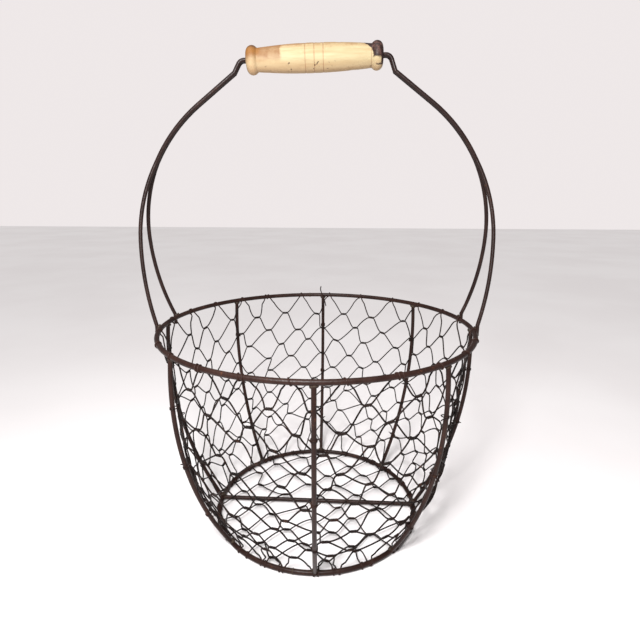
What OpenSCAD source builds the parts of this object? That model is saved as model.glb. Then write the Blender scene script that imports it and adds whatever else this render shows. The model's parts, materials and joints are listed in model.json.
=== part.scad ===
// Egg collection basket: a bowl of eight bowed wire ribs between a rim hoop and a base ring,
// lined with hexagonal wire netting, carried by a rigid double-wire bail with a turned wooden grip.
// Millimetres, +Z up. The origin is on the ground plane, under the centre of the base ring.
// The front of the basket faces -Y, and the bar across the base ring runs left to right, along X.

/* [Basket] */
// Diameter of the rim hoop, measured to the middle of its wire
rim_d = 260; // [240:1:280]
// Diameter of the base ring, measured to the middle of its wire
base_d = 180; // [160:1:200]
// Height from the middle of the base ring's wire to the middle of the rim's wire
body_h = 172; // [155:1:185]
// Radius of the outward bow of the ribs
rib_bow_r = 267; // [260:1:300]
// Slip of each rib around the hoops, anticlockwise from the right-hand rib, in degrees
rib_slip = [0.5, -1, 0.5, -1, -0.5, -2, 3, 1]; // [-3:0.5:3]

/* [Wire] */
// Diameter of the rim hoop's wire
rim_wire = 4; // [3:0.1:5]
// Diameter of the base ring's wire
base_wire = 4; // [3:0.1:5]
// Diameter of the ribs' wire
rib_wire = 3.4; // [2.6:0.1:4]
// Diameter of the straight bar across the base ring
bar_wire = 3.6; // [3:0.1:4]
// Diameter of each of the two bail wires
bail_wire = 3.2; // [2.6:0.1:3.2]
// Diameter of the soft wire that ties the netting to the ribs
tie_wire = 1; // [0.8:0.1:1.2]
// Thickness of the sheets that stand for the netting
net_t = 1; // [0.8:0.1:1.5]

/* [Bail] */
// Height of the grip's axis above the middle of the rim's wire
grip_h = 209; // [206:1:214]
// Spread of the bail at its widest, between wire middles
bail_w = 287; // [284:1:290]
// Height of the widest place above the rim
bail_wide_h = 72; // [68:1:76]
// Radius of the bail's shoulders
shoulder_r = 131; // [128:1:133]
// Turn of each shoulder, in degrees from upright
shoulder_turn = 53; // [51:1:54]
// Straight run from the shoulder to the knee
knee_run = 37; // [35:1:39]
// Bend radius where the wires leave the grip
exit_r = 5; // [4:0.5:6]
// Height above the rim at which the two wires come together
join_h = 134; // [120:1:138]
// Distance between the front and back foot on one side
foot_gap = 41; // [30:1:46]
// How far behind the middle of the rim the bail is welded on
bail_back = 8; // [0:1:10]
// Turn of the hand-set bail about the upright, anticlockwise from above, in degrees
bail_turn = 2.2; // [0:0.1:3]
// Lean of the hand-bent bail towards the left, in degrees
bail_lean = 0.5; // [0:0.1:2]

/* [Grip] */
// Length of the wooden grip
grip_l = 104; // [96:1:106]
// Diameter of the barrel at mid-length
barrel_d = 20.6; // [19:0.1:23]
// Diameter of the barrel where it meets the end beads
barrel_end_d = 16.6; // [15:0.1:18]
// Diameter of the end beads
bead_d = 20.6; // [19:0.1:23]
// Width of each end bead
bead_w = 9; // [8:0.5:10]
// Distance between the three scribed grooves
groove_pitch = 6.8; // [5:0.1:9]
// Tilt of the grip against the bail, right-hand end up, in degrees
grip_tilt = 1.4; // [0:0.1:2]

/* [Hidden] */
$fn = 64;
RIBS = ["rib_right", "rib_back_right", "rib_back", "rib_back_left",
        "rib_left", "rib_front_left", "rib_front", "rib_front_right"];

weld_gap = 0.02;              // gap between wires that are welded, so that their solids don't overlap
pair_gap = 0.2;               // gap between the two bail wires where they run side by side
bore_gap = 0.05;              // running clearance of the grip round the pair of wires
net_gap = 1.2;                // room for a tie between the netting and the ribs
joint_trim = 0.2;             // how far each stretch of a bail wire stops short of its joints
joint_swell = 0.1;            // how much wider the balls at those joints are than the wire
rest_gap = 0.1;               // gap between the floor netting and the bar that it rests on

rim_r = rim_d / 2;
base_r = base_d / 2;
base_z = base_wire / 2;
rim_z = base_z + body_h;

// The rib's middle line is one arc from the base ring to the rim, in a plane through the Z axis.
rib_chord = norm([rim_r - base_r, body_h]);
rib_chord_lean = atan2(rim_r - base_r, body_h);
rib_arc_depth = sqrt(rib_bow_r * rib_bow_r - rib_chord * rib_chord / 4);
rib_cx = (rim_r + base_r) / 2 - rib_arc_depth * cos(rib_chord_lean);
rib_cz = (rim_z + base_z) / 2 + rib_arc_depth * sin(rib_chord_lean);
rib_from = atan2(base_z - rib_cz, base_r - rib_cx);
rib_to = atan2(rim_z - rib_cz, rim_r - rib_cx);

// Netting wall: inside the ribs, from just over the floor to just under the rim. net_pull is how
// nearly flat the bays between the ribs are pulled, from 0 to 1.
net_outer_r = rib_bow_r - rib_wire / 2 - net_gap;
net_inner_r = net_outer_r - net_t;
floor_net_z = base_z + bar_wire / 2 + rest_gap;
floor_net_r = base_r - base_wire / 2;
net_bottom_z = floor_net_z + net_t + 0.4;
net_top_z = rim_z - rim_wire / 2 - 0.5;
net_steps = 10;
net_turn = 7.5;
net_pull = 0.8;

// Ties: three on each rib, at these shares of the rib's arc.
tie_places = [0.22, 0.5, 0.78];
tie_ring_r = rib_wire / 2 + tie_wire / 2 + 0.05;

// Bail, before it is placed on the rim. Heights are above the middle of the rim's wire.
pair_y = (bail_wire + pair_gap) / 2;
bore_r = pair_y + bail_wire / 2 + bore_gap;
foot_top = 1.6;               // where the upright foot ends and the flank begins
foot_down = 6;                // how far the foot reaches below the middle of the rim's wire
foot_r = rim_r + rim_wire / 2 + bail_wire / 2 + weld_gap;
splay = asin((foot_gap / 2 - pair_y) / (join_h - foot_top));
wide_x = bail_w / 2;
flank_rise = bail_wide_h - foot_top;
join_turn = asin((join_h - bail_wide_h) / shoulder_r);
shoulder_cx = wide_x - shoulder_r;
shoulder_end = [shoulder_cx + shoulder_r * cos(shoulder_turn), bail_wide_h + shoulder_r * sin(shoulder_turn)];
knee = shoulder_end + knee_run * [-sin(shoulder_turn), cos(shoulder_turn)];
exit_run = 2;                 // how far the wires run straight on past each end of the grip
exit_x = grip_l / 2 + exit_run;

// Each wire has its feet on the outside of the rim, at its own depth behind the rim's middle.
function foot_x(depth) = sqrt(foot_r * foot_r - depth * depth);
function flank_r(spread) = (spread * spread + flank_rise * flank_rise) / (2 * spread);

// The bend out of the grip on one side, for a grip whose end on that side is tilted up
function exit_c(tilt) =
    [exit_x * cos(tilt) + exit_r * sin(tilt), grip_h + exit_x * sin(tilt) - exit_r * cos(tilt)];
function exit_end(tilt) =
    let (to_knee = knee - exit_c(tilt))
    atan2(to_knee[1], to_knee[0]) + acos(exit_r / norm(to_knee));
function exit_leave(tilt) = exit_c(tilt) + exit_r * [cos(exit_end(tilt)), sin(exit_end(tilt))];
function grip_line(x) = [x * cos(grip_tilt), grip_h + x * sin(grip_tilt)];

// Grip profile
bead_c = grip_l / 2 - bead_w / 2;
barrel_l = grip_l - 2 * bead_w;
crown = (barrel_d - barrel_end_d) / 2;
crown_r = (barrel_l * barrel_l / 4 + crown * crown) / (2 * crown);
groove_w = 0.9;               // width of a scribed groove
groove_depth = 0.35;          // depth of a scribed groove

// A stretch of wire bent to a radius, in the XZ plane about the centre c, from angle a to angle b
module bent_wire(c, r, a, b, d) {
    translate([c[0], 0, c[1]])
        rotate([90, 0, 0])
            rotate([0, 0, a])
                rotate_extrude(angle = b - a)
                    translate([r, 0])
                        circle(d = d);
}

// One bend of a bail wire. It stops just short of its ends, inside the balls that join it on.
module bail_bend(c, r, a, b) {
    trim = joint_trim / r * 180 / PI;
    bent_wire(c, r, a + trim, b - trim, bail_wire);
}

// A straight stretch of a bail wire, from p to q in the XZ plane, likewise short at both ends
module bail_run(p, q) {
    translate([p[0], 0, p[1]])
        rotate([0, atan2(q[0] - p[0], q[1] - p[1]), 0])
            translate([0, 0, joint_trim])
                cylinder(d = bail_wire, h = norm(q - p) - 2 * joint_trim);
}

// The ball that joins two stretches of a bail wire, at p in the XZ plane
module joint_ball(p) {
    translate([p[0], 0, p[1]])
        sphere(d = bail_wire + joint_swell);
}

// A closed hoop of round wire that lies flat at height z
module hoop(r, d, z) {
    translate([0, 0, z])
        rotate_extrude()
            translate([r, 0])
                circle(d = d);
}

module rim_hoop() {
    color("#5b3f38")
        hoop(rim_r, rim_wire, rim_z);
}

module base_ring() {
    color("#4f3731")
        hoop(base_r, base_wire, base_z);
}

// Each rib is coped at both ends to sit against the hoops it is welded to.
module rib(i) {
    color("#563c35")
        difference() {
            rotate([0, 0, 45 * i + rib_slip[i]])
                bent_wire([rib_cx, rib_cz], rib_bow_r, rib_from, rib_to, rib_wire);
            hoop(rim_r, rim_wire + 2 * weld_gap, rim_z);
            hoop(base_r, base_wire + 2 * weld_gap, base_z);
        }
}

module floor_cross_bar() {
    color("#4a332d")
        difference() {
            translate([-base_r, 0, base_z])
                rotate([0, 90, 0])
                    cylinder(d = bar_wire, h = base_d);
            hoop(base_r, base_wire + 2 * weld_gap, base_z);
        }
}

// Lower part of one side of a bail wire: flank and the start of the shoulder, in a plane that
// splays outwards below the place where the two wires come together.
module splayed_side(foot_x) {
    r = flank_r(wide_x - foot_x);
    translate([0, 0, join_h])
        rotate([splay, 0, 0])
            translate([0, 0, -join_h]) {
                joint_ball([foot_x, foot_top]);
                bail_bend([wide_x - r, bail_wide_h], r, -asin(flank_rise / r), 0);
                joint_ball([wide_x, bail_wide_h]);
                bail_bend([shoulder_cx, bail_wide_h], shoulder_r, 0, join_turn);
            }
}

// Upper part of one side: the rest of the shoulder, the knee and the bend into the grip
module upright_side(tilt) {
    joint_ball([shoulder_cx + shoulder_r * cos(join_turn), join_h]);
    bail_bend([shoulder_cx, bail_wide_h], shoulder_r, join_turn, shoulder_turn);
    joint_ball(shoulder_end);
    bail_run(shoulder_end, knee);
    joint_ball(knee);
    bail_run(knee, exit_leave(tilt));
    joint_ball(exit_leave(tilt));
    bail_bend(exit_c(tilt), exit_r, exit_end(tilt), 90 + tilt);
    joint_ball([exit_x * cos(tilt), grip_h + exit_x * sin(tilt)]);
}

// The foot stands upright against the outside of the rim, where it is welded.
module foot(foot_x) {
    foot_top_z = join_h - (join_h - foot_top) * cos(splay);
    translate([foot_x, foot_gap / 2 - pair_y, -foot_down])
        cylinder(d = bail_wire, h = foot_top_z + foot_down - joint_trim);
}

// One bail wire from foot to foot through the grip, as the back one of the pair, on a bail that
// stands upright over the middle of the rim. foot_x is how far out its feet stand.
module bail_wire_shape(foot_x) {
    translate([0, pair_y, 0]) {
        for (side = [0, 1])
            mirror([side, 0, 0]) {
                foot(foot_x);
                splayed_side(foot_x);
                upright_side(side == 0 ? grip_tilt : -grip_tilt);
            }
        bail_run(grip_line(-exit_x), grip_line(exit_x));
    }
}

// Places the bail on the rim, where it stands back, turned and leaning
module on_rim() {
    translate([0, 0, rim_z])
        rotate([0, -bail_lean, bail_turn])
            translate([0, bail_back, 0])
                children();
}

module bail_wire_back() {
    color("#46302a")
        on_rim()
            bail_wire_shape(foot_x(bail_back + foot_gap / 2));
}

module bail_wire_front() {
    color("#4c352f")
        on_rim()
            mirror([0, 1, 0])
                bail_wire_shape(foot_x(bail_back - foot_gap / 2));
}

// Half outline of the turned grip: x is the distance from its axis, y is along the axis
module bead_outline(at) {
    translate([bead_d / 2 - bead_w / 2, at])
        circle(d = bead_w);
    translate([0, at - bead_w / 2])
        square([bead_d / 2 - bead_w / 2, bead_w]);
}

module grip_outline() {
    intersection() {
        translate([barrel_d / 2 - crown_r, 0])
            circle(r = crown_r, $fn = 720);
        translate([0, -barrel_l / 2 - 0.5])
            square([barrel_d, barrel_l + 1]);
    }
    bead_outline(bead_c);
    bead_outline(-bead_c);
}

module wooden_grip() {
    color("#e9c98f")
        on_rim()
            translate([0, 0, grip_h])
                rotate([0, 90 - grip_tilt, 0])
                    difference() {
                        rotate_extrude()
                            intersection() {
                                grip_outline();
                                translate([0, -grip_l / 2])
                                    square([barrel_d, grip_l]);
                            }
                        for (k = [-1:1])
                            translate([0, 0, k * groove_pitch])
                                rotate_extrude()
                                    translate([barrel_d / 2 - groove_depth, -groove_w / 2])
                                        square([groove_depth + 1, groove_w]);
                        translate([0, 0, -grip_l / 2 - 1])
                            cylinder(r = bore_r, h = grip_l + 2);
                    }
}

// The netting is round where it is hooked to the hoops, and pulled nearly flat between the ribs
// half-way up. share is the height as a share of the whole, and turn is the angle in degrees.
function net_pull_at(share) = net_pull * (1 - pow(2 * share - 1, 4));
function net_flatness(turn) = 1 - cos(22.5) / cos(turn - 45 * floor(turn / 45) - 22.5);
function net_point(arc_r, share, turn) =
    let (
        z = net_bottom_z + (net_top_z - net_bottom_z) * share,
        round_r = rib_cx + sqrt(arc_r * arc_r - (z - rib_cz) * (z - rib_cz)),
        r = round_r * (1 - net_pull_at(share) * net_flatness(turn))
    )
    [r * cos(turn), r * sin(turn), z];

// A closed tub wall: an outer skin and an inner skin of points, joined at the top and bottom edges
module wall_netting() {
    levels = net_steps + 1;
    turns = 360 / net_turn;
    skin = turns * levels;
    points = [
        for (arc_r = [net_outer_r, net_inner_r], i = [0:turns - 1], k = [0:net_steps])
            net_point(arc_r, k / net_steps, i * net_turn)
    ];
    function at(side, i, k) = side * skin + (i % turns) * levels + k;
    outer_faces = [
        for (i = [0:turns - 1], k = [0:net_steps - 1], half = [0, 1])
            half == 0
                ? [at(0, i, k), at(0, i, k + 1), at(0, i + 1, k + 1)]
                : [at(0, i, k), at(0, i + 1, k + 1), at(0, i + 1, k)]
    ];
    inner_faces = [
        for (i = [0:turns - 1], k = [0:net_steps - 1], half = [0, 1])
            half == 0
                ? [at(1, i, k), at(1, i + 1, k + 1), at(1, i, k + 1)]
                : [at(1, i, k), at(1, i + 1, k), at(1, i + 1, k + 1)]
    ];
    edge_faces = [
        for (i = [0:turns - 1], top = [0, 1], half = [0, 1])
            let (
                k = top * net_steps,
                a = at(0, i, k),
                b = at(0, i + 1, k),
                c = at(1, i + 1, k),
                d = at(1, i, k)
            )
            top == 1
                ? (half == 0 ? [a, d, c] : [a, c, b])
                : (half == 0 ? [a, b, c] : [a, c, d])
    ];
    color("#3a2a26", 0.5)
        polyhedron(points, concat(outer_faces, inner_faces, edge_faces));
}

module floor_netting() {
    color("#35261f", 0.5)
        translate([0, 0, floor_net_z])
            cylinder(r = floor_net_r, h = net_t);
}

// Rings of soft wire round the ribs, which hold the netting to them
module rib_ties() {
    color("#2e211d")
        for (i = [0:7], share = tie_places)
            rotate([0, 0, 45 * i + rib_slip[i]])
                translate([rib_cx, 0, rib_cz])
                    rotate([90, 0, 0])
                        rotate([0, 0, rib_from + (rib_to - rib_from) * share])
                            translate([rib_bow_r, 0, 0])
                                rotate([90, 0, 0])
                                    rotate_extrude()
                                        translate([tie_ring_r, 0])
                                            circle(d = tie_wire, $fn = 24);
}

rim_hoop();
base_ring();
for (i = [0:7])
    rib(i);
floor_cross_bar();
bail_wire_front();
bail_wire_back();
wooden_grip();
wall_netting();
floor_netting();
rib_ties();
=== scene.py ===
"""Looks of the egg collection basket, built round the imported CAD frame. Everything is in metres.

The hoops, ribs, bar and bail keep their CAD shapes. The netting, its ties, the weld beads and
the turned grip are modelled here in mesh code. The front of the basket faces -Y.
"""
import json
import math
import random

import bmesh
import bpy
import numpy as np
from mathutils import Matrix, Vector, noise


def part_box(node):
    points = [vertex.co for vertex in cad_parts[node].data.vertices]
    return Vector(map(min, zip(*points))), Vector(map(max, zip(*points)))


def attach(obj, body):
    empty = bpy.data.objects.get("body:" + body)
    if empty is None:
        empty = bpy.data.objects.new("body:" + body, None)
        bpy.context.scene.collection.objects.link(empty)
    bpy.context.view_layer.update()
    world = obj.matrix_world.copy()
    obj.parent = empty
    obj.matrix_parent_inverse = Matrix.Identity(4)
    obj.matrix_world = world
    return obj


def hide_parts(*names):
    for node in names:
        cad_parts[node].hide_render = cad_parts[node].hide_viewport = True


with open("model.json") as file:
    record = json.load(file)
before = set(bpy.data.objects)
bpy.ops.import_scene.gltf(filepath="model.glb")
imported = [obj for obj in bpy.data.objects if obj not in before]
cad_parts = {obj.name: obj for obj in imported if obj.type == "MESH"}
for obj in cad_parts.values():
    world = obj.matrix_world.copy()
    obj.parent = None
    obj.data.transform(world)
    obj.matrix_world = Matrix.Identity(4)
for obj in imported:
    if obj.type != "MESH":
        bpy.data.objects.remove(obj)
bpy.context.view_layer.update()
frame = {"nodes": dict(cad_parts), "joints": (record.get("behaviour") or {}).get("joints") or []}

rng = random.Random(41)

# ---------------------------------------------------------------- measures taken from the frame

RIBS = (
    "rib_right",
    "rib_back_right",
    "rib_back",
    "rib_back_left",
    "rib_left",
    "rib_front_left",
    "rib_front",
    "rib_front_right",
)


def hoop_measures(node):
    """Radius of a hoop's middle line, height of that line and radius of its wire."""
    low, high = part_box(node)
    wire_r = (high.z - low.z) / 2
    return (high.x - low.x) / 2 - wire_r, (high.z + low.z) / 2, wire_r


RIM_R, RIM_Z, RIM_WIRE_R = hoop_measures("rim_hoop")
BASE_R, BASE_Z, BASE_WIRE_R = hoop_measures("base_ring")
BAR_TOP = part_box("floor_cross_bar")[1].z
NET_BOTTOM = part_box("wall_netting")[0].z
NET_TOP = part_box("wall_netting")[1].z

RIB_BOW = 0.267  # radius of the arc that each rib follows
RIB_WIRE_R = 0.0017
BAY = 360 / len(RIBS)  # degrees from one rib to the next
NET_INSET = 0.0034  # how far inside the ribs' middle lines the netting hangs
NET_PULL = 0.8  # how nearly flat the netting is between two ribs, half-way up
NET_SLACK_BELOW = 0.16  # shares of the netting's height up to which it is not pulled at all
NET_TAUT_RISE = 0.55  # and over which the pull then grows
WIRE_R = 0.00060  # netting wire
WRAP_GAP = -0.00035  # wraps are bedded in the paint of the wire they are wound round


def rib_turn(node):
    """Angle of a rib round the Z axis, in degrees."""
    low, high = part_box(node)
    middle = (low + high) / 2
    return math.degrees(math.atan2(middle.y, middle.x))


def rib_arc_centre():
    """Centre of the ribs' arc, as distance from the Z axis and height."""
    top = np.array([RIM_R, RIM_Z])
    bottom = np.array([BASE_R, BASE_Z])
    chord = top - bottom
    length = np.linalg.norm(chord)
    inward = np.array([-chord[1], chord[0]]) / length
    return (top + bottom) / 2 + inward * math.sqrt(RIB_BOW**2 - length**2 / 4)


ARC_R, ARC_Z = rib_arc_centre()

# ---------------------------------------------------------------- mesh helpers


class Soup:
    """Vertices and faces of several closed shells, gathered into one mesh."""

    def __init__(self):
        self.verts = []
        self.faces = []

    def add(self, verts, faces):
        start = len(self.verts)
        self.verts.extend(map(tuple, verts))
        self.faces.extend(tuple(start + v for v in face) for face in faces)

    def wire(self, path, radius=WIRE_R, sides=6, closed=False):
        self.add(*tube(path, radius, sides, closed))

    def build(self, name, material, body, slot, place=None):
        """The finished piece, riding on its body. place moves it out of the basket's own frame."""
        mesh = bpy.data.meshes.new(name)
        mesh.from_pydata(self.verts, [], self.faces)
        mesh.validate()
        mesh.polygons.foreach_set("use_smooth", [True] * len(mesh.polygons))
        mesh.materials.append(material)
        piece = bpy.data.objects.new(name, mesh)
        bpy.context.scene.collection.objects.link(piece)
        if place is not None:
            piece.matrix_world = place
        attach(piece, body)
        return piece


def unit(vectors):
    lengths = np.linalg.norm(vectors, axis=-1, keepdims=True)
    return vectors / np.maximum(lengths, 1e-12)


def carried_normals(tangent):
    """A normal at each point of a path, carried along it without spinning."""
    aside = np.array([0.0, 0.0, 1.0]) if abs(tangent[0][2]) < 0.9 else np.array([1.0, 0.0, 0.0])
    normal = np.empty_like(tangent)
    carried = np.cross(tangent[0], aside)
    for k, along in enumerate(tangent):
        carried = carried - along * carried.dot(along)
        carried = carried / np.linalg.norm(carried)
        normal[k] = carried
    return normal


def close_the_spin(tangent, normal):
    """Spreads the spin between the last and first normal of a closed path over the whole path."""
    binormal = np.cross(tangent, normal)
    last = normal[-1] - tangent[0] * normal[-1].dot(tangent[0])
    gap = math.atan2(last.dot(binormal[0]), last.dot(normal[0]))
    spin = (-gap * np.arange(len(tangent)) / len(tangent))[:, None]
    return normal * np.cos(spin) + binormal * np.sin(spin)


def rounded_ends(path, radius):
    """Extra points just past both ends of an open wire, where its radius shrinks."""
    first = unit(path[0] - path[1])
    last = unit(path[-1] - path[-2])
    path = np.vstack([path[0] + first * radius[0] * 0.5, path, path[-1] + last * radius[-1] * 0.5])
    radius = np.concatenate([[radius[0] * 0.55], radius, [radius[-1] * 0.55]])
    return path, radius


def tube(path, radius, sides=6, closed=False):
    """Vertices and faces of a round wire along a path. An open wire has blunt rounded ends."""
    path = np.asarray(path, float)
    radius = np.broadcast_to(np.asarray(radius, float), (len(path),)).copy()
    if not closed:
        path, radius = rounded_ends(path, radius)
    count = len(path)
    if closed:
        step = np.roll(path, -1, 0) - np.roll(path, 1, 0)
    else:
        step = np.gradient(path, axis=0)
    tangent = unit(step)
    normal = carried_normals(tangent)
    if closed:
        normal = close_the_spin(tangent, normal)
    binormal = np.cross(tangent, normal)
    angle = np.arange(sides) * 2 * math.pi / sides
    across = np.cos(angle)[None, :, None] * normal[:, None, :]
    across = across + np.sin(angle)[None, :, None] * binormal[:, None, :]
    verts = (path[:, None, :] + radius[:, None, None] * across).reshape(-1, 3)
    faces = []
    for k in range(count if closed else count - 1):
        here = k * sides
        there = (k + 1) % count * sides
        for s in range(sides):
            t = (s + 1) % sides
            faces.append((here + s, here + t, there + t, there + s))
    if not closed:
        faces.append(tuple(range(sides))[::-1])
        faces.append(tuple((count - 1) * sides + s for s in range(sides)))
    return verts, faces


def smooth_path(points, steps=6):
    """A Catmull-Rom curve through a few points."""
    points = np.asarray(points, float)
    ends = np.vstack([2 * points[0] - points[1], points, 2 * points[-1] - points[-2]])
    share = np.linspace(0, 1, steps, endpoint=False)[:, None]
    path = []
    for a, b, c, d in zip(ends, ends[1:], ends[2:], ends[3:]):
        cubic = 2 * b + (c - a) * share
        cubic = cubic + (2 * a - 5 * b + 4 * c - d) * share**2
        cubic = cubic + (3 * b - a - 3 * c + d) * share**3
        path.append(0.5 * cubic)
    return np.vstack(path + [points[-1:]])


BEAD_LUMPS = 0.2  # how far noise pushes a weld bead in and out, as a share of its size


def blob(centre, axes, radii, seed):
    """A lumpy closed bead: a small sphere stretched along three axes and pushed about by noise."""
    ball = bmesh.new()
    bmesh.ops.create_icosphere(ball, subdivisions=3, radius=1)
    shift = Vector((seed * 3.7, seed * 1.3, 0))
    verts = []
    for v in ball.verts:
        coarse = noise.noise(v.co * 1.6 + shift)
        fine = noise.noise(v.co * 4 + shift)
        local = v.co * (1 + BEAD_LUMPS * coarse + BEAD_LUMPS * 0.4 * fine)
        out = sum((Vector(axis) * radii[k] * local[k] for k, axis in enumerate(axes)), Vector())
        verts.append(Vector(centre) + out)
    faces = [tuple(v.index for v in face.verts) for face in ball.faces]
    ball.free()
    return verts, faces


# ---------------------------------------------------------------- the netting's surface


def net_radius(turn, z):
    """Distance of the wall netting from the Z axis, for arrays of angles in degrees and heights.
    It is pulled nearly flat between the ribs, less so towards the floor."""
    share = np.clip((z - NET_BOTTOM) / (NET_TOP - NET_BOTTOM), 0, 1)
    tautness = np.clip((share - NET_SLACK_BELOW) / NET_TAUT_RISE, 0, 1)
    pull = NET_PULL * (1 - (2 * share - 1) ** 4) * tautness * tautness * (3 - 2 * tautness)
    off_middle = np.radians(np.mod(turn, BAY) - BAY / 2)
    flatness = 1 - math.cos(math.radians(BAY / 2)) / np.cos(off_middle)
    round_r = ARC_R + np.sqrt((RIB_BOW - NET_INSET) ** 2 - (z - ARC_Z) ** 2)
    return round_r * (1 - pull * flatness)


def wall_points(flat):
    """Points on the wall netting. Each row of flat is angle in degrees, height, offset outwards."""
    flat = np.asarray(flat, float)
    turn, z, out = flat[:, 0], flat[:, 1], flat[:, 2]
    r = net_radius(turn, z) + out
    angle = np.radians(turn)
    return np.column_stack([r * np.cos(angle), r * np.sin(angle), z])


def degrees_per_metre(turn, z):
    return 180 / (math.pi * float(net_radius(np.array(turn), np.array(z))))


# ---------------------------------------------------------------- netting wires

TWIST_HALF = 0.0027  # half the length of a twist
TWIST_TURNS = 2
TWIST_R = 0.00062  # how far each wire of a twist runs from the twist's middle line
TWIST_STEPS = 17
DIAGONAL_STEPS = 10
BOW = 0.0005  # how far a diagonal usually bows aside, within the netting's surface
BULGE = 0.0004  # and out of it
STIFFNESS = (0.14, 0.40)  # least and greatest roundness of a diagonal at its ends


def twist(u, v, tilt, side, scale):
    """One wire through a twist at (u, v). side is 1 for the wire from above and -1 for the one
    from below, and scale turns metres along u into the surface's own units."""
    share = np.linspace(0, 1, TWIST_STEPS)
    eased = share * share * (3 - 2 * share)
    spin = 2 * math.pi * TWIST_TURNS * eased
    along = (2 * share - 1) * TWIST_HALF
    across = side * TWIST_R * np.cos(spin)
    out = side * TWIST_R * np.sin(spin)
    lean = math.radians(tilt)
    du = along * math.cos(lean) - across * math.sin(lean)
    dv = along * math.sin(lean) + across * math.cos(lean)
    return np.column_stack([u + du * scale, v + dv, out])


def end_slope(stop, at_end, scale):
    """Direction of a stop's first or last step, in metres."""
    step = stop[-1] - stop[-2] if at_end else stop[1] - stop[0]
    return unit(step / np.array([scale, 1, 1]))


def diagonal(before, after, scale, bow, bulge, stiffness):
    """The stretch of wire between two stops. The stiffer it is, the rounder it leaves them."""
    scales = np.array([scale, 1, 1])
    start = before[-1] / scales
    end = after[0] / scales
    span = np.linalg.norm(end - start)
    leave = end_slope(before, True, scale) * span * stiffness
    arrive = end_slope(after, False, scale) * span * stiffness
    t = (0.5 - 0.5 * np.cos(np.linspace(0, math.pi, DIAGONAL_STEPS + 2)))[1:-1, None]
    path = start * (2 * t**3 - 3 * t**2 + 1) + leave * (t**3 - 2 * t**2 + t)
    path = path + end * (3 * t**2 - 2 * t**3) + arrive * (t**3 - t**2)
    ahead = unit(end - start)
    sway = np.sin(math.pi * t[:, 0])
    path[:, 0] -= ahead[1] * bow * sway
    path[:, 1] += ahead[0] * bow * sway
    path[:, 2] += bulge * sway
    return path * scales


def joined(stops, scale_at, closed):
    """One wire through a list of stops."""
    parts = []
    count = len(stops)
    for k, stop in enumerate(stops):
        parts.append(stop)
        if k == count - 1 and not closed:
            break
        following = stops[(k + 1) % count]
        if k == count - 1:
            following = following + np.array([360, 0, 0])
        scale = scale_at(stop[-1])
        bow = rng.gauss(0, BOW)
        bulge = rng.gauss(0, BULGE)
        parts.append(diagonal(stop, following, scale, bow, bulge, rng.uniform(*STIFFNESS)))
    return np.vstack(parts)


# ---------------------------------------------------------------- wall netting

COLUMNS = 24
ROWS = 11
COLUMN_TURN = 360 / COLUMNS
FIRST_TWIST_TURN = 4.3
TOP_TWISTS_Z = 0.154
ROW_DROP = 0.0165
ROW_CLOSING = 0.00034  # how much nearer each row lies to the one above it than the last did


def wall_twist_row(j):
    """Twists of one row, counted from the top: angle, height and tilt. They grow less regular
    towards the floor, and each row is turned a little against the one above it."""
    z = TOP_TWISTS_Z - ROW_DROP * j + ROW_CLOSING * j * j
    slack = 0.7 + 0.07 * j
    row = []
    for i in range(COLUMNS):
        nominal = COLUMN_TURN * (i + 0.5 * (j % 2))
        skew = 1.15 + 0.6 * math.cos(math.radians(nominal - 90))
        turn = FIRST_TWIST_TURN + nominal + skew * j + rng.gauss(0, 1.3 * slack)
        row.append((turn, z + rng.gauss(0, 0.0013 * slack), rng.gauss(0, 7)))
    return row


def hoop_wrap(turn, hoop_r, hoop_z, wire_r, start, sweep, advance, leads):
    """A wire wound round a hoop's own wire, from angle start through sweep, in degrees, where 0 is
    outwards and 90 is up. Leads are points on the netting beside the wrap, as distances along the
    hoop from the wrap's end and up from the hoop, the nearest last."""
    wrap_r = wire_r + WIRE_R + WRAP_GAP
    spin = np.radians(np.linspace(start, start + sweep, max(10, int(abs(sweep) / 24))))
    along = np.linspace(-0.5, 0.5, len(spin)) * advance
    angle = turn + np.degrees(along / hoop_r)
    z = hoop_z + wrap_r * np.sin(spin)
    coil = np.column_stack([angle, z, hoop_r + wrap_r * np.cos(spin) - net_radius(angle, z)])
    beside = [(math.degrees((advance / 2 + out) / hoop_r), hoop_z + up) for out, up in leads]
    lead_in = [(turn - aside, up, 0) for aside, up in beside]
    lead_out = [(turn + aside, up, 0) for aside, up in beside[::-1]]
    return np.vstack([lead_in, coil, lead_out])


DOUBLE_WRAPS = 0.08  # share of the rim wraps that go round twice


def rim_wrap(turn):
    """From inside the rim over the top, down the outside, underneath and back to the netting."""
    double = rng.random() < DOUBLE_WRAPS
    sweep = -680 if double else -320
    advance = 0.00556 if double else 0.0034
    leads = [(0.0044, -0.0068), (0.0018, -0.0036)]
    return hoop_wrap(turn, RIM_R, RIM_Z, RIM_WIRE_R, 195, sweep, advance, leads)


def base_wrap(turn):
    """From above the base ring down its inside, underneath, up the outside and over the top."""
    leads = [(0.0030, 0.0070), (0.0012, 0.0038)]
    return hoop_wrap(turn, BASE_R, BASE_Z, BASE_WIRE_R, 155, 300, 0.0032, leads)


def wall_scale(point):
    return degrees_per_metre(point[0], point[1])


def wall_twist(row, i, side):
    """The stop of one wire at twist i of a row, which may count on past the last column."""
    turn, z, tilt = row[i % COLUMNS]
    turn = turn + 360 * (i // COLUMNS)
    return twist(turn, z, tilt, side, degrees_per_metre(turn, z))


def between(row, i):
    """Angle half-way between twists i and i + 1 of a row, give or take a degree."""
    here = row[i][0]
    after = row[(i + 1) % COLUMNS][0] + 360 * ((i + 1) // COLUMNS)
    return (here + after) / 2 + rng.gauss(0, 0.8)


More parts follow.
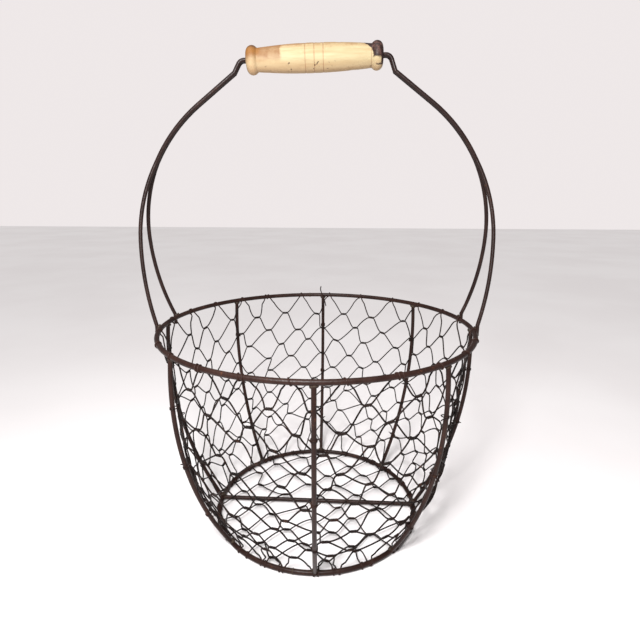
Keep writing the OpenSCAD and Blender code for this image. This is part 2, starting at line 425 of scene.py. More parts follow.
def wall_net():
    """Zigzag wires, each closed round the basket and twisted with the ones above and below it."""
    rows = [wall_twist_row(j) for j in range(ROWS)]
    net = Soup()
    top_stops = []
    for i in range(COLUMNS):
        top_stops.append(wall_twist(rows[0], i, 1))
        top_stops.append(rim_wrap(between(rows[0], i)))
    net.wire(wall_points(joined(top_stops, wall_scale, True)), closed=True)
    for j in range(ROWS - 1):
        stops = []
        for i in range(COLUMNS):
            stops.append(wall_twist(rows[j], i, -1))
            stops.append(wall_twist(rows[j + 1], i + j % 2, 1))
        net.wire(wall_points(joined(stops, wall_scale, True)), closed=True)
    bottom_stops = []
    for i in range(COLUMNS):
        bottom_stops.append(wall_twist(rows[-1], i, -1))
        bottom_stops.append(base_wrap(between(rows[-1], i)))
    net.wire(wall_points(joined(bottom_stops, wall_scale, True)), closed=True)
    return net


# ---------------------------------------------------------------- floor netting

FLOOR_Z = BAR_TOP + WIRE_R + TWIST_R
FLOOR_TWIST_X = -0.0314  # the floor netting's first twist
FLOOR_TWIST_Y = 0.0036
FLOOR_PITCH_X = 0.036
FLOOR_PITCH_Y = 0.01675
FLOOR_SKEW = 0.0025  # how far each row is moved to the right of the one in front of it
FLOOR_CUT_R = BASE_R - 0.0024


def floor_twist_row(j):
    """Twists of one row of the floor netting, from left to right: x, y and tilt."""
    row = []
    for i in range(-4, 5):
        x = FLOOR_TWIST_X + FLOOR_PITCH_X * (i + 0.5 * (j % 2)) + FLOOR_SKEW * j + rng.gauss(0, 0.0028)
        y = FLOOR_TWIST_Y + FLOOR_PITCH_Y * j + rng.gauss(0, 0.0017)
        row.append((x, y, rng.gauss(0, 14)))
    return row


def runs_inside(path, limit):
    """The stretches of a path that lie within a distance of the Z axis."""
    inside = np.hypot(path[:, 0], path[:, 1]) < limit
    runs = []
    run = []
    for point, kept in zip(path, inside):
        if kept:
            run.append(point)
        elif run:
            runs.append(run)
            run = []
    if run:
        runs.append(run)
    return [np.array(r) for r in runs if len(r) > 6]


def cut_end(point):
    """A cut end of floor wire, wound once round the base ring and turned back over itself."""
    turn = math.degrees(math.atan2(point[1], point[0]))
    drift = rng.choice((-1, 1)) * 0.0022
    wrap_r = BASE_WIRE_R + WIRE_R + WRAP_GAP
    spin = np.radians(np.linspace(100, 100 - rng.uniform(330, 480), 16))
    angle = np.radians(turn) + np.linspace(0, 1, 16) * drift / BASE_R
    r = BASE_R + wrap_r * np.cos(spin)
    return np.column_stack([r * np.cos(angle), r * np.sin(angle), BASE_Z + wrap_r * np.sin(spin)])


def floor_net():
    """Zigzag wires from side to side, resting on the bar, cut and wound round the base ring."""
    rows = {j: floor_twist_row(j) for j in range(-6, 7)}
    net = Soup()
    for j in range(-6, 6):
        stops = []
        upper, lower = rows[j + 1], rows[j]
        for below, above in zip(lower, upper):
            pair = [twist(*below, 1, 1), twist(*above, -1, 1)]
            stops.extend(pair if j % 2 == 0 else pair[::-1])
        path = joined(stops, lambda point: 1, False)
        path[:, 2] = FLOOR_Z + path[:, 2]
        for run in runs_inside(path, FLOOR_CUT_R):
            start, end = cut_end(run[0]), cut_end(run[-1])
            net.wire(np.vstack([start[::-1], run, end]))
    return net


# ---------------------------------------------------------------- ties, welds and loose wire

TIE_PLACES = (0.22, 0.5, 0.78)  # as shares of a rib's arc
TIE_R = 0.00042
TIE_PITCH = 0.0011
TIE_REACH = 0.0018  # how much further a tie reaches behind its rib, to take in the netting


def rib_frame(turn, share):
    """A point on a rib's middle line, with its directions along the rib, outwards and sideways."""
    low = math.atan2(BASE_Z - ARC_Z, BASE_R - ARC_R)
    high = math.atan2(RIM_Z - ARC_Z, RIM_R - ARC_R)
    angle = low + (high - low) * share
    sideways = np.array([-math.sin(math.radians(turn)), math.cos(math.radians(turn)), 0])
    radial = np.array([math.cos(math.radians(turn)), math.sin(math.radians(turn)), 0])
    up = np.array([0, 0, 1])
    out = radial * math.cos(angle) + up * math.sin(angle)
    along = -radial * math.sin(angle) + up * math.cos(angle)
    point = radial * (ARC_R + RIB_BOW * math.cos(angle)) + up * (ARC_Z + RIB_BOW * math.sin(angle))
    return point, along, out, sideways


def tie_end(start, outwards, aside, along, distances):
    """Points along a tie's cut end, at distances from the coil that it leaves."""
    way = unit(outwards + rng.uniform(0.5, 1) * aside + rng.uniform(-0.8, 0.8) * along)
    return [start + way * s + rng.gauss(0, 0.0002) * along for s in distances]


def tie(turn, share):
    """Soft wire wound round a rib and the netting behind it, with two short cut ends."""
    point, along, out, sideways = rib_frame(turn, share)
    turns = rng.choice((1.5, 1.5, 2.5))
    spin = np.linspace(-math.pi * turns, math.pi * turns, int(16 * turns)) + math.pi
    rise = np.linspace(-0.5, 0.5, len(spin)) * turns * TIE_PITCH
    reach = RIB_WIRE_R + TIE_R * 0.6 + TIE_REACH * np.clip(-np.cos(spin), 0, 1) ** 2
    side = 1 if rng.random() < 0.5 else -1
    coil = point + rise[:, None] * along + (reach * np.cos(spin))[:, None] * out
    coil = coil + side * (reach * np.sin(spin))[:, None] * sideways
    tail_out = rng.choice((-0.5, -0.5, 0.6)) * out
    tail = tie_end(coil[-1], tail_out, side * sideways, along, (0.0010, 0.0020, 0.0032))
    head = tie_end(coil[0], -0.4 * out, -side * sideways, along, (0.0028, 0.0018, 0.0009))
    return np.vstack([smooth_path(head, 3), coil, smooth_path(tail, 3)])


def tie_wraps():
    ties = Soup()
    for node in RIBS:
        for share in TIE_PLACES:
            ties.wire(tie(rib_turn(node), share + rng.gauss(0, 0.012)), TIE_R)
    return ties


def around(turn, r, z):
    angle = math.radians(turn)
    return Vector((r * math.cos(angle), r * math.sin(angle), z))


def turned_axes(turn):
    """Sideways, outwards and upwards at an angle round the basket."""
    angle = math.radians(turn)
    return (-math.sin(angle), math.cos(angle), 0), (math.cos(angle), math.sin(angle), 0), (0, 0, 1)


def bail_feet(node):
    """Where the two feet of a bail wire stand against the rim, left and right."""
    co = np.array([v.co for v in frame["nodes"][node].data.vertices])
    low = co[co[:, 2] < RIM_Z - 0.004]
    return [low[low[:, 0] * side > 0].mean(0) for side in (-1, 1)]


RIB_BEAD = (0.0030, 0.0021, 0.0017)  # half sizes of a bead: sideways, outwards and upwards
BAR_BEAD = (0.0028, 0.0016, 0.0019)
FOOT_BEAD = (0.0010, 0.0012, 0.0024)


def rib_welds(welds):
    """A fillet at each end of each rib, inside the angle that it makes with the hoop."""
    for seed, node in enumerate(RIBS):
        turn = rib_turn(node)
        axes = turned_axes(turn)
        welds.add(*blob(around(turn, RIM_R, RIM_Z - 0.0024), axes, RIB_BEAD, seed))
        welds.add(*blob(around(turn, BASE_R + 0.0003, BASE_Z + 0.0024), axes, RIB_BEAD, seed + 10))


def bar_welds(welds):
    for turn in (0, 180):
        end = around(turn, BASE_R - 0.0023, BASE_Z)
        welds.add(*blob(end, turned_axes(turn), BAR_BEAD, turn + 20))


def foot_welds(welds):
    """A thin bead on either side of each foot of the bail."""
    for seed, node in enumerate(("bail_wire_front", "bail_wire_back")):
        for foot in bail_feet(node):
            turn = math.degrees(math.atan2(foot[1], foot[0]))
            for side in (-1, 1):
                beside = turn + side * math.degrees(0.0018 / RIM_R)
                bead = around(beside, RIM_R + 0.0017, RIM_Z + 0.0004)
                welds.add(*blob(bead, turned_axes(turn), FOOT_BEAD, seed + foot[0] * 90 + side))


def hoop_welds(welds):
    """Where the two ends of each hoop's own wire are joined."""
    joins = ((97, RIM_R, RIM_Z, RIM_WIRE_R), (262, BASE_R, BASE_Z, BASE_WIRE_R))
    for turn, hoop_r, hoop_z, wire_r in joins:
        size = (0.0016, wire_r * 1.12, wire_r * 1.1)
        welds.add(*blob(around(turn, hoop_r, hoop_z), turned_axes(turn), size, turn))


def weld_beads():
    welds = Soup()
    rib_welds(welds)
    bar_welds(welds)
    foot_welds(welds)
    hoop_welds(welds)
    return welds


def net_spot(turn, z, out=0.0):
    return wall_points([(turn, z, out)])[0]


def lacing(turn_top, turn_bottom, z_top, z_bottom, loops, width):
    """A wire that laces two edges of netting together, in uneven loops down the wall."""
    share = np.linspace(0, 1, loops * 11)
    spin = share * loops * 2 * math.pi
    wobble = np.array([noise.noise(Vector((s * 14, turn_top, 0))) for s in share])
    size = width * (1 + 0.5 * wobble)
    turn = turn_top + (turn_bottom - turn_top) * share + 1.2 * np.sin(share * 9)
    z = z_top + (z_bottom - z_top) * share + 0.0012 * np.sin(spin * 0.5 + 1)
    scale = 180 / (math.pi * net_radius(turn, z))
    flat = np.column_stack([turn + size * np.cos(spin) * scale, z, 0.0011 * np.sin(spin)])
    return wall_points(flat)


def curled_end(turn, z):
    """A cut end of netting wire, wound round its neighbour and left sticking out."""
    centre = net_spot(turn, z)
    side, out, up = (np.array(axis) for axis in turned_axes(turn))
    lean = rng.uniform(-1.2, 1.2)
    along = unit(side * math.sin(lean) + up * math.cos(lean))
    aside = np.cross(along, out)
    turns = rng.uniform(0.9, 2.0)
    spin = np.linspace(0, 2 * math.pi * turns, int(12 * turns)) + rng.uniform(0, 6)
    size = rng.uniform(0.0006, 0.0012)
    rise = np.linspace(0, 0.0026 * turns, len(spin))[:, None] * along
    coil = centre + rise + size * (np.cos(spin)[:, None] * out + np.sin(spin)[:, None] * aside)
    way = unit(-0.3 * out + rng.uniform(-1, 1) * side + rng.uniform(-1, 1) * up)
    length = rng.uniform(0.004, 0.010)
    tail = [coil[-1] + way * length * s + aside * rng.gauss(0, 0.0007) for s in (0.3, 0.65, 1)]
    return np.vstack([coil, smooth_path([coil[-1], *tail], 4)[1:]])


def seam(net, turn_top, turn_bottom, z_top, z_bottom, loops, ends):
    """Where the netting's edges meet: one lacing wire and a crowd of cut ends."""
    net.wire(lacing(turn_top, turn_bottom, z_top, z_bottom, loops, 0.0028))
    for k in range(ends):
        share = (k + rng.random()) / ends
        turn = turn_top + (turn_bottom - turn_top) * share + rng.gauss(0, 3)
        net.wire(curled_end(turn, z_top + (z_bottom - z_top) * share))


def bunched_strand(turn_top, turn_bottom, z_top):
    """A slack strand that runs down a bunched stretch of netting to the base ring."""
    count = 7
    flat = []
    for k in range(count):
        share = k / (count - 1)
        turn = turn_top + (turn_bottom - turn_top) * share + rng.gauss(0, 1.0)
        z = z_top + (BASE_Z + 0.004 - z_top) * share
        flat.append((turn, z, rng.gauss(0.0002, 0.0006)))
    return wall_points(smooth_path(flat, 5))


def seam_wires():
    """The netting's seams on the right and at the lower left, with the wire left loose on both."""
    net = Soup()
    seam(net, turn_top=341, turn_bottom=333, z_top=0.156, z_bottom=0.020, loops=5, ends=13)
    for turn_top, turn_bottom, z_top in ((345, 336, 0.160), (339, 328, 0.128), (205, 209, 0.062)):
        net.wire(bunched_strand(turn_top, turn_bottom, z_top))
    for z in (0.032, 0.052):
        net.wire(curled_end(204 + rng.gauss(0, 5), z))
    return net


def loose_wires():
    """One cut end that stands up from the back rib, and a slack loop outside the right one."""
    net = Soup()
    back = rib_turn("rib_back")
    up_end = [
        around(back - 1.5, RIM_R - 0.0028, RIM_Z - 0.012),
        around(back - 0.6, RIM_R - 0.0030, RIM_Z - 0.004),
        around(back + 0.6, RIM_R - 0.0027, RIM_Z + 0.002),
        around(back + 1.2, RIM_R - 0.0016, RIM_Z + 0.0065),
        around(back + 1.0, RIM_R - 0.0004, RIM_Z + 0.0095),
    ]
    net.wire(smooth_path(up_end, 6))
    right = rib_turn("rib_right")
    loop = [
        around(right - 1.0, RIM_R - 0.0010, RIM_Z - 0.0060),
        around(right + 0.4, RIM_R + 0.0035, RIM_Z - 0.0045),
        around(right + 1.3, RIM_R + 0.0052, RIM_Z - 0.0100),
        around(right + 1.2, RIM_R + 0.0044, RIM_Z - 0.0160),
        around(right - 0.2, RIM_R + 0.0016, RIM_Z - 0.0195),
        around(right - 1.6, RIM_R - 0.0030, RIM_Z - 0.0180),
    ]
    net.wire(smooth_path(loop, 6))
    return net


# ---------------------------------------------------------------- turned grip

SPIN = frame["joints"][0]
GRIP_AXIS = Vector(SPIN["axis"]).normalized()
GRIP_MIDDLE = Vector(SPIN["pos_m"])
GRIP_L = 0.104
BARREL_R = 0.0103
BARREL_END_R = 0.0083
BEAD_R = 0.0103
BEAD_W = 0.009
BORE_R = 0.00335
EDGE = 0.0004  # the worn edge of the bore
GROOVES = (-0.0068, 0.0, 0.0068)
GROOVE_DEPTH = 0.00038
GROOVE_W = 0.00026
FILLET = 0.0009  # between the barrel and the beads
GRIP_SIDES = 96
DENTS = 26
DENT_R = 0.01  # radius at which the width of a dent round the grip is measured


def grip_matrix():
    """The grip's own frame: X along its axis, Z as near to upwards as that allows."""
    x = GRIP_AXIS
    y = Vector((0, 0, 1)).cross(x).normalized()
    z = x.cross(y)
    turn = Matrix((x, y, z)).transposed().to_4x4()
    return Matrix.Translation(GRIP_MIDDLE) @ turn


def barrel_radius(x):
    """The barrel's crowned outline, with three scribed grooves."""
    half = GRIP_L / 2 - BEAD_W
    crown = BARREL_R - BARREL_END_R
    arc_r = (half * half + crown * crown) / (2 * crown)
    r = BARREL_R - arc_r + math.sqrt(arc_r * arc_r - x * x)
    for groove in GROOVES:
        r -= GROOVE_DEPTH * math.exp(-(((x - groove) / GROOVE_W) ** 2))
    return r


def bead_radius(x):
    """The outline of an end bead: a flat disc with a fully rounded edge."""
    off = abs(x) - (GRIP_L / 2 - BEAD_W / 2)
    return BEAD_R - BEAD_W / 2 + math.sqrt(max(0, (BEAD_W / 2) ** 2 - off * off))


def joined_radius(x):
    """The barrel and the beads, with a small worn fillet where they meet."""
    barrel = barrel_radius(x)
    off = abs(x) - (GRIP_L / 2 - BEAD_W / 2)
    bead = bead_radius(x) if abs(off) < BEAD_W / 2 else 0
    share = min(1, max(0, 0.5 + 0.5 * (barrel - bead) / FILLET))
    return bead + (barrel - bead) * share + FILLET * share * (1 - share)


def grip_outline():
    """Points along the grip from the left bore edge round the outside to the right one."""
    half = GRIP_L / 2
    face = [(-half, r) for r in np.linspace(BORE_R + EDGE, BEAD_R - BEAD_W / 2, 5)]
    bead = []
    for swing in np.radians(np.linspace(0, 90, 14)[1:-1]):
        x = -half + BEAD_W / 2 * (1 - math.cos(swing))
        bead.append((x, bead_radius(x)))
    left = [(-half + EDGE, BORE_R)] + face + bead
    inner = half - BEAD_W / 2
    middle = [(x, joined_radius(x)) for x in np.linspace(-inner, inner, 240)]
    right = [(-x, r) for x, r in left[::-1]]
    bore = [(x, BORE_R) for x in np.linspace(half - EDGE, -half + EDGE, 12)[1:-1]]
    return left + middle + right + bore


def dents():
    """Small knocks in the barrel and beads: place along the grip, angle, width and depth."""
    knocks = []
    for _ in range(DENTS):
        place = rng.uniform(-0.048, 0.048)
        turn = math.radians(rng.uniform(0, 360))
        width = rng.uniform(0.0008, 0.0022)
        knocks.append((place, turn, width, rng.uniform(0.0001, 0.0003)))
    return knocks


def worn_swell(x, angle, knocks):
    """How far the outside stands proud of its outline: out of round, less the knocks from use."""
    swell = 0.00009 * noise.noise(Vector((x * 60, math.cos(angle), math.sin(angle))))
    for place, turn, width, depth in knocks:
        sweep = (angle - turn + math.pi) % (2 * math.pi) - math.pi
        off = ((x - place) ** 2 + (sweep * DENT_R) ** 2) / width**2
        if off < 6:
            swell -= depth * math.exp(-off)
    return swell


def turned_grip():
    """The grip lathed from its outline, slightly out of round, with knocks from use."""
    outline = grip_outline()
    knocks = dents()
    verts = []
    for x, r in outline:
        for s in range(GRIP_SIDES):
            angle = 2 * math.pi * s / GRIP_SIDES
            worn_r = r + worn_swell(x, angle, knocks) if r > BORE_R + EDGE / 2 else r
            verts.append((x, worn_r * math.cos(angle), worn_r * math.sin(angle)))
    faces = []
    for k in range(len(outline)):
        here = k * GRIP_SIDES
        there = (k + 1) % len(outline) * GRIP_SIDES
        for s in range(GRIP_SIDES):
            t = (s + 1) % GRIP_SIDES
            faces.append((here + s, there + s, there + t, here + t))
    return verts, faces


# ---------------------------------------------------------------- materials

FRAME_BROWN = (0.0176, 0.0078, 0.0060)
FRAME_LIGHT = (0.0317, 0.0154, 0.0121)
FRAME_RUST = (0.075, 0.028, 0.014)
BAIL_BROWN = (0.0150, 0.0070, 0.0058)
BAIL_LIGHT = (0.0260, 0.0130, 0.0105)
BAIL_RUST = (0.05, 0.019, 0.009)
NET_BROWN = (0.0055, 0.0030, 0.0025)
NET_LIGHT = (0.0170, 0.0105, 0.0088)
NET_RUST = (0.030, 0.012, 0.007)
TIE_BROWN = (0.012, 0.0058, 0.0048)
TIE_LIGHT = (0.028, 0.0140, 0.0112)
TIE_RUST = (0.04, 0.016, 0.008)
WELD_BROWN = (0.022, 0.0125, 0.0090)
WELD_GREY = (0.044, 0.0300, 0.0195)
FLOOR_GREY = (0.81, 0.775, 0.775)
FLOOR_PALE = (0.85, 0.82, 0.82)


class Shader:
    """A material under construction, with short calls for the nodes used below."""

    def __init__(self, name):
        self.material = bpy.data.materials.new(name)
        self.material.use_nodes = True
        self.tree = self.material.node_tree
        self.surface = self.tree.nodes["Principled BSDF"]
        self.place = self.new("ShaderNodeTexCoord").outputs["Object"]

    def new(self, kind, **settings):
        node = self.tree.nodes.new(kind)
        for name, value in settings.items():
            setattr(node, name, value)
        return node

    def feed(self, socket, value):
        if hasattr(value, "is_linked"):
            self.tree.links.new(value, socket)
        else:
            socket.default_value = value

    def stretched(self, scale):
        node = self.new("ShaderNodeMapping")
        self.feed(node.inputs["Vector"], self.place)
        node.inputs["Scale"].default_value = scale
        return node.outputs["Vector"]

    def noise(self, scale, detail=3, roughness=0.5, place=None, distortion=0.0):
        node = self.new("ShaderNodeTexNoise")
        self.feed(node.inputs["Vector"], place or self.place)
        node.inputs["Scale"].default_value = scale
        node.inputs["Detail"].default_value = detail
        node.inputs["Roughness"].default_value = roughness
        node.inputs["Distortion"].default_value = distortion
        return node.outputs["Fac"]

    def cells(self, scale):
        node = self.new("ShaderNodeTexVoronoi")
        self.feed(node.inputs["Vector"], self.place)
        node.inputs["Scale"].default_value = scale
        return node.outputs["Distance"]

    def span(self, value, low, high, to_low=0.0, to_high=1.0):
        node = self.new("ShaderNodeMapRange", interpolation_type="SMOOTHSTEP")
        self.feed(node.inputs["Value"], value)
        node.inputs["From Min"].default_value = low
        node.inputs["From Max"].default_value = high
        node.inputs["To Min"].default_value = to_low
        node.inputs["To Max"].default_value = to_high
        return node.outputs["Result"]

    def math(self, operation, a, b=0.0):
        node = self.new("ShaderNodeMath", operation=operation)
        self.feed(node.inputs[0], a)
        self.feed(node.inputs[1], b)
        return node.outputs["Value"]

    def times(self, a, b, *others):
        product = self.math("MULTIPLY", a, b)
        for other in others:
            product = self.math("MULTIPLY", product, other)
        return product

    def plus(self, a, b):
        return self.math("ADD", a, b)

    def away(self, value, place):
        """How far a value is from a place."""
        return self.math("ABSOLUTE", self.math("SUBTRACT", value, place))

    def mix(self, share, a, b):
        node = self.new("ShaderNodeMix", data_type="RGBA")
        self.feed(node.inputs["Factor"], share)
        self.feed(node.inputs["A"], a if hasattr(a, "is_linked") else (*a, 1))
        self.feed(node.inputs["B"], b if hasattr(b, "is_linked") else (*b, 1))
        return node.outputs["Result"]

    def split(self):
        node = self.new("ShaderNodeSeparateXYZ")
        self.feed(node.inputs["Vector"], self.place)
        return node.outputs

    def bump(self, height, distance, strength=1.0, over=None):
        node = self.new("ShaderNodeBump")
        self.feed(node.inputs["Height"], height)
        node.inputs["Distance"].default_value = distance
        node.inputs["Strength"].default_value = strength
        if over is not None:
            self.feed(node.inputs["Normal"], over)
        return node.outputs["Normal"]

    def finish(self, colour, roughness, normal, specular):
        self.feed(self.surface.inputs["Base Color"], colour)
        self.feed(self.surface.inputs["Roughness"], roughness)
        self.feed(self.surface.inputs["Normal"], normal)
        self.surface.inputs["Specular IOR Level"].default_value = specular
        return self.material


def old_paint(name, base, light, rust, specular):
    """Thin rust-brown paint over drawn wire: patchy colour, rust specks and a pitted skin."""
    s = Shader(name)
    patches = s.span(s.noise(55, 4, 0.6), 0.35, 0.68)
    fine = s.noise(900, 3, 0.6)
    colour = s.mix(patches, base, light)
    colour = s.mix(s.span(fine, 0.3, 0.75, 0, 0.45), colour, tuple(c * 0.55 for c in base))
    specks = s.span(s.noise(420, 4, 0.65), 0.60, 0.70)
    where = s.span(s.noise(38, 3, 0.5), 0.45, 0.62)
    rusty = s.times(specks, where)
    colour = s.mix(rusty, colour, rust)
    roughness = s.plus(s.span(fine, 0.25, 0.75, 0.30, 0.46), s.times(rusty, 0.25))
    pits = s.bump(s.cells(700), 0.00012, 0.5)
    skin = s.bump(s.noise(230, 4, 0.6), 0.0004, 0.55, pits)
    return s.finish(colour, roughness, skin, specular)


def near_hoop(s, hoop_r, hoop_z):
    """1 within a wrap's reach of a hoop's middle line, falling to 0 just beyond it."""
    x, y, z = s.split()
    from_axis = s.math("SQRT", s.plus(s.times(x, x), s.times(y, y)))
    off = s.math("MAXIMUM", s.away(from_axis, hoop_r), s.away(z, hoop_z))
    return s.span(off, 0.0030, 0.0042, 1, 0)


def net_metal(name, base, light, rust):
    """Old galvanised netting wire gone dark brown, with lighter and rustier lengths, and under
    the frame's paint where it is wound round the hoops."""
    s = Shader(name)
    lengths = s.span(s.noise(70, 3, 0.55), 0.38, 0.66)
    colour = s.mix(lengths, base, light)
    specks = s.span(s.noise(300, 3, 0.6), 0.52, 0.66)
    where = s.span(s.noise(28, 2), 0.44, 0.6)
    colour = s.mix(s.times(specks, where), colour, rust)
    painted = s.math("MAXIMUM", near_hoop(s, RIM_R, RIM_Z), near_hoop(s, BASE_R, BASE_Z))
    colour = s.mix(painted, colour, s.mix(s.noise(200, 3), FRAME_BROWN, FRAME_LIGHT))
    roughness = s.span(s.noise(650, 2), 0.3, 0.7, 0.38, 0.62)
    return s.finish(colour, roughness, s.bump(s.noise(1400, 3, 0.6), 0.0001, 0.6), 0.12)


def weld_metal():
    """Weld beads under the paint: greyer, scaly and duller than the wire beside them."""
    s = Shader("weld_scale")
    patches = s.span(s.noise(240, 4), 0.35, 0.65)
    colour = s.mix(patches, WELD_BROWN, WELD_GREY)
    roughness = s.span(s.noise(700, 2), 0.3, 0.7, 0.5, 0.75)
    return s.finish(colour, roughness, s.bump(s.noise(900, 4), 0.0003, 0.7), 0.2)


def band(s, value, low, high, soft):
    """1 where value lies between low and high, falling to 0 over a soft edge."""
    rising = s.span(value, low - soft, low + soft)
    falling = s.span(value, high - soft, high + soft, 1, 0)
    return s.times(rising, falling)


GRIP_CHIPS = (  # place along the grip, height and size
    (-0.0190, -0.0050, 0.0008),
    (-0.0178, -0.0084, 0.0007),
    (0.0005, -0.0066, 0.0008),
    (0.0021, -0.0058, 0.0007),
    (0.0120, 0.0046, 0.0005),
)

WOOD_PALE = (0.405, 0.335, 0.195)
WOOD_GRAIN = (0.345, 0.250, 0.132)
WOOD_PORES = (0.27, 0.165, 0.085)
WOOD_WARM = (0.43, 0.285, 0.160)
WOOD_UNDER = (0.40, 0.235, 0.125)
STAIN_BROWN = (0.200, 0.098, 0.040)
STAIN_ORANGE = (0.215, 0.092, 0.022)
GRIME = (0.235, 0.120, 0.052)
GRIME_DARK = (0.090, 0.045, 0.022)
GROOVE_BROWN = (0.230, 0.115, 0.055)
BEAD_LINE_BROWN = (0.16, 0.08, 0.04)
SPECK_BROWN = (0.06, 0.03, 0.02)
CHIP_BLACK = (0.045, 0.022, 0.015)
CHAR_BLACK = (0.018, 0.009, 0.008)
CHAR_BROWN = (0.085, 0.042, 0.034)


class GripPlaces:
    """Where a point of the grip is: x along it, z up from its axis, and both with ragged edges."""

    def __init__(self, s):
        self.x, self.y, self.z = s.split()
        self.ragged = s.times(s.math("SUBTRACT", s.noise(160, 4, 0.6), 0.5), 0.006)
        self.x_edge = s.plus(self.x, self.ragged)
        self.z_edge = s.plus(self.z, self.ragged)


def bare_wood(s, at, grain, pores):
    """Pale wood, darker in the grain and pores, and warmer at the left and underneath."""
    colour = s.mix(s.span(grain, 0.35, 0.68), WOOD_PALE, WOOD_GRAIN)
    colour = s.mix(s.span(pores, 0.56, 0.72, 0, 0.45), colour, WOOD_PORES)
    colour = s.mix(s.span(at.x, -0.045, 0.002, 0.45, 0), colour, WOOD_WARM)
    under = s.span(at.z, -0.0105, -0.003, 1, 0)
    return s.mix(s.times(under, 0.5), colour, WOOD_UNDER)


def stained(s, at, colour):
    """A brown stain over the left end, an orange one on its bead, and grime along the top."""
    cloud = s.span(s.noise(90, 3, 0.6), 0.36, 0.62, 0.65, 1)
    left_end = s.span(at.x_edge, -0.0262, -0.0240, 1, 0)
    colour = s.mix(s.times(left_end, s.span(at.z_edge, -0.0055, 0.0020), cloud), colour, STAIN_BROWN)
    level = s.plus(at.z_edge, s.times(at.x, at.x, 1.08))
    along_top = s.times(s.span(at.x_edge, -0.012, 0.004, 1, 0.75), s.span(level, 0.0068, 0.0084))
    colour = s.mix(s.times(along_top, 0.7), colour, GRIME)
    left_bead = s.times(s.span(at.x_edge, -0.0425, -0.0395, 1, 0), s.span(at.z_edge, 0.0000, 0.0045))
    colour = s.mix(s.times(left_bead, 0.9), colour, STAIN_ORANGE)
    crown = s.times(s.span(at.x, -0.0440, -0.0425, 1, 0), s.span(at.z_edge, 0.0060, 0.0092))
    return s.mix(s.times(crown, 0.8), colour, GRIME_DARK)


def grimy_lines(s, at, colour, grain):
    """Grime in the three grooves, and where the barrel meets the right bead."""
    for groove in GROOVES:
        line = band(s, at.x, groove - 0.0003, groove + 0.0003, 0.00022)
        colour = s.mix(s.times(line, s.span(grain, 0.25, 0.7, 0.35, 0.8)), colour, GROOVE_BROWN)
    line = band(s, at.x, 0.0425, 0.0432, 0.0004)
    return s.mix(s.times(line, 0.5), colour, BEAD_LINE_BROWN)


def specks_and_chips(s, at, colour):
    """Dark specks on the lower half, and a few small chips in the front."""
    specks = s.span(s.noise(420, 2, 0.5), 0.68, 0.73)
    belly = s.times(s.span(at.z, -0.008, -0.001, 1, 0), s.span(s.noise(30, 1), 0.4, 0.6))
    colour = s.mix(s.times(specks, belly), colour, SPECK_BROWN)
    in_front = s.span(at.y, -0.001, 0, 1, 0)
    for chip_x, chip_z, size in GRIP_CHIPS:
        off = s.plus(s.away(at.x_edge, chip_x), s.away(at.z_edge, chip_z))
        chip = s.times(s.span(off, size * 0.6, size, 1, 0), in_front)
        colour = s.mix(chip, colour, CHIP_BLACK)
    return colour


def charred(s, at):
    """1 on the dark upper part and smear of the right bead, and on the wedge beside it."""
    bead = s.span(at.x_edge, 0.0432, 0.0440)
    upper = s.span(s.plus(at.z, s.times(at.ragged, 0.8)), -0.0036, -0.0024)
    rim = s.times(s.span(at.x, 0.0495, 0.0505), s.span(at.z_edge, -0.0085, -0.0075))
    smear = s.times(band(s, at.z_edge, -0.0078, -0.0066, 0.0006), s.span(at.x, 0.0455, 0.047))
    dark = s.math("MAXIMUM", s.math("MAXIMUM", upper, rim), smear)
    slant = s.plus(at.z, s.times(s.math("SUBTRACT", at.x_edge, 0.0392), 0.7))
    wedge = s.times(s.span(slant, 0.0062, 0.0067), s.span(at.x, 0.0352, 0.0364))
    return s.math("MAXIMUM", s.times(bead, dark), wedge)


def grip_wood():
    """Worn pale wood: grain along the grip, grimy grooves, an orange stain and a charred bead.
    X runs along the grip, -Y is its front and +Z its top."""
    s = Shader("grip_worn_wood")
    at = GripPlaces(s)
    grain = s.noise(240, 5, 0.6, s.stretched((0.06, 1, 1)), 0.3)
    pores = s.noise(1100, 3, 0.6, s.stretched((0.05, 1, 1)))
    colour = bare_wood(s, at, grain, pores)
    colour = stained(s, at, colour)
    colour = grimy_lines(s, at, colour, grain)
    colour = specks_and_chips(s, at, colour)
    char = charred(s, at)
    char_colour = s.mix(s.span(s.noise(300, 3, 0.6), 0.4, 0.7), CHAR_BLACK, CHAR_BROWN)
    colour = s.mix(char, colour, char_colour)
    roughness = s.math("SUBTRACT", s.span(grain, 0.3, 0.7, 0.52, 0.70), s.times(char, 0.12))
    ridges = s.bump(pores, 0.00012, 0.5)
    skin = s.bump(s.noise(180, 4, 0.55), 0.0004, 0.35, ridges)
    return s.finish(colour, roughness, skin, 0.22)


def table_top():
    """A plain pale surface to stand on, just uneven enough not to look flat."""
    s = Shader("pale_floor")
    colour = s.mix(s.span(s.noise(3, 3), 0.3, 0.7), FLOOR_GREY, FLOOR_PALE)
    return s.finish(colour, 0.75, s.bump(s.noise(120, 3), 0.0004, 0.2), 0.2)


# ---------------------------------------------------------------- building the pieces

frame_paint = old_paint("frame_paint", FRAME_BROWN, FRAME_LIGHT, FRAME_RUST, 0.14)
bail_paint = old_paint("bail_paint", BAIL_BROWN, BAIL_LIGHT, BAIL_RUST, 0.18)
net_paint = net_metal("net_wire", NET_BROWN, NET_LIGHT, NET_RUST)
tie_paint = net_metal("tie_wire", TIE_BROWN, TIE_LIGHT, TIE_RUST)


def repaint(nodes, material):
    """Gives CAD pieces one material in place of their own."""
    for node in nodes:
        materials = frame["nodes"][node].data.materials
        materials.clear()
        materials.append(material)


repaint(("rim_hoop", "base_ring", "floor_cross_bar", *RIBS), frame_paint)
repaint(("bail_wire_front", "bail_wire_back"), bail_paint)

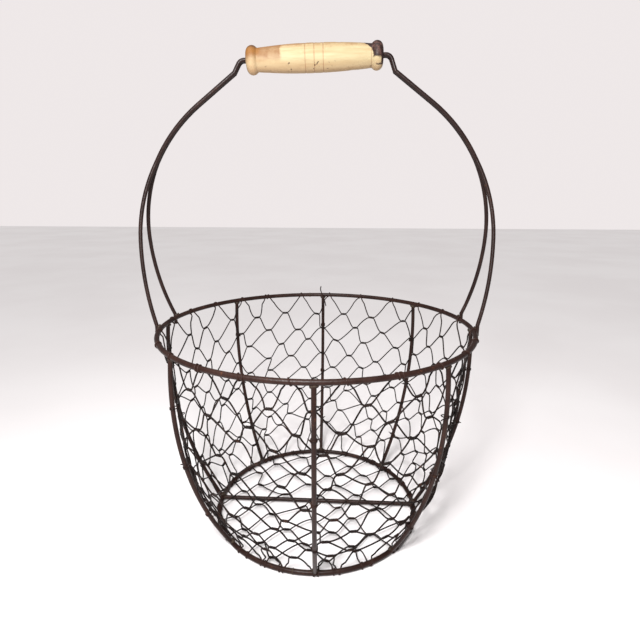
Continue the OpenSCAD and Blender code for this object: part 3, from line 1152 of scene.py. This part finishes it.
wall = wall_net().build("wall_net", net_paint, "basket", "netting_wire")
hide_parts("wall_netting")
floor_piece = floor_net().build("floor_net", net_paint, "basket", "netting_wire")
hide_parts("floor_netting")
ties = tie_wraps().build("rib_tie_wraps", tie_paint, "basket", "netting_wire")
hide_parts("rib_ties")
seam_wires().build("net_seam_wires", net_paint, "basket", "netting_wire")
loose_wires().build("loose_wire_ends", net_paint, "basket", "netting_wire")
weld_beads().build("weld_beads", weld_metal(), "basket", "frame_wire")

grip_soup = Soup()
grip_soup.add(*turned_grip())
grip = grip_soup.build("turned_grip", grip_wood(), "grip", "grip_wood", place=grip_matrix())
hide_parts("wooden_grip")

# ---------------------------------------------------------------- floor, lights and camera


def add_floor():
    """A wide flat floor, just under the wraps round the base ring."""
    mesh = bpy.data.meshes.new("stage_floor")
    half = 4.0
    low = -0.0011
    corners = [(-half, -half, low), (half, -half, low), (half, half, low), (-half, half, low)]
    mesh.from_pydata(corners, [], [(0, 1, 2, 3)])
    mesh.materials.append(table_top())
    floor = bpy.data.objects.new("stage_floor", mesh)
    bpy.context.scene.collection.objects.link(floor)


def add_key():
    """A small lamp close in front and above, for the glints along the wires."""
    place = Vector((-0.050, -0.42, 0.465))
    target = Vector((0, 0, 0.12))
    data = bpy.data.lights.new("near_key", "AREA")
    data.shape = "DISK"
    data.size = 0.12
    data.energy = 4.6
    light = bpy.data.objects.new("near_key", data)
    light.location = place
    light.rotation_euler = (target - place).to_track_quat("-Z", "Y").to_euler()
    bpy.context.scene.collection.objects.link(light)


def add_sun():
    """Wide, even light from above, so that the floor is pale all over."""
    data = bpy.data.lights.new("soft_sun", "SUN")
    data.energy = 2.05
    data.angle = math.radians(50)
    light = bpy.data.objects.new("soft_sun", data)
    light.rotation_euler = (math.radians(18), math.radians(-12), 0)
    bpy.context.scene.collection.objects.link(light)


def add_world():
    """Dim light from all round, and a pale wall behind the basket for the camera alone."""
    world = bpy.data.worlds.new("pale_room")
    world.use_nodes = True
    tree = world.node_tree
    lit = tree.nodes["Background"]
    lit.inputs["Color"].default_value = (0.92, 0.88, 0.88, 1)
    lit.inputs["Strength"].default_value = 0.26
    seen = tree.nodes.new("ShaderNodeBackground")
    seen.inputs["Color"].default_value = (0.86, 0.81, 0.81, 1)
    ray = tree.nodes.new("ShaderNodeLightPath")
    either = tree.nodes.new("ShaderNodeMixShader")
    tree.links.new(ray.outputs["Is Camera Ray"], either.inputs["Fac"])
    tree.links.new(lit.outputs["Background"], either.inputs[1])
    tree.links.new(seen.outputs["Background"], either.inputs[2])
    tree.links.new(either.outputs["Shader"], tree.nodes["World Output"].inputs["Surface"])
    bpy.context.scene.world = world


def add_camera():
    """Level with the grip's lower side, close in front, looking a little down and left."""
    yaw, pitch, roll = (math.radians(a) for a in (-3.273, 14.584, -0.123))
    level = math.cos(pitch)
    forward = Vector((math.sin(yaw) * level, math.cos(yaw) * level, -math.sin(pitch)))
    right = Vector((math.cos(yaw), -math.sin(yaw), 0))
    down = forward.cross(right)
    rolled_right = math.cos(roll) * right + math.sin(roll) * down
    rolled_down = math.cos(roll) * down - math.sin(roll) * right
    data = bpy.data.cameras.new("photo_view")
    data.sensor_width = 36
    data.lens = 26.877
    data.clip_start = 0.02
    camera = bpy.data.objects.new("photo_view", data)
    turn = Matrix((rolled_right, -rolled_down, -forward)).transposed().to_4x4()
    camera.matrix_world = Matrix.Translation((0.02551, -0.39426, 0.28129)) @ turn
    bpy.context.scene.collection.objects.link(camera)
    bpy.context.scene.camera = camera


add_floor()
add_world()
add_key()
add_sun()
add_camera()
bpy.context.scene.view_settings.view_transform = "Standard"
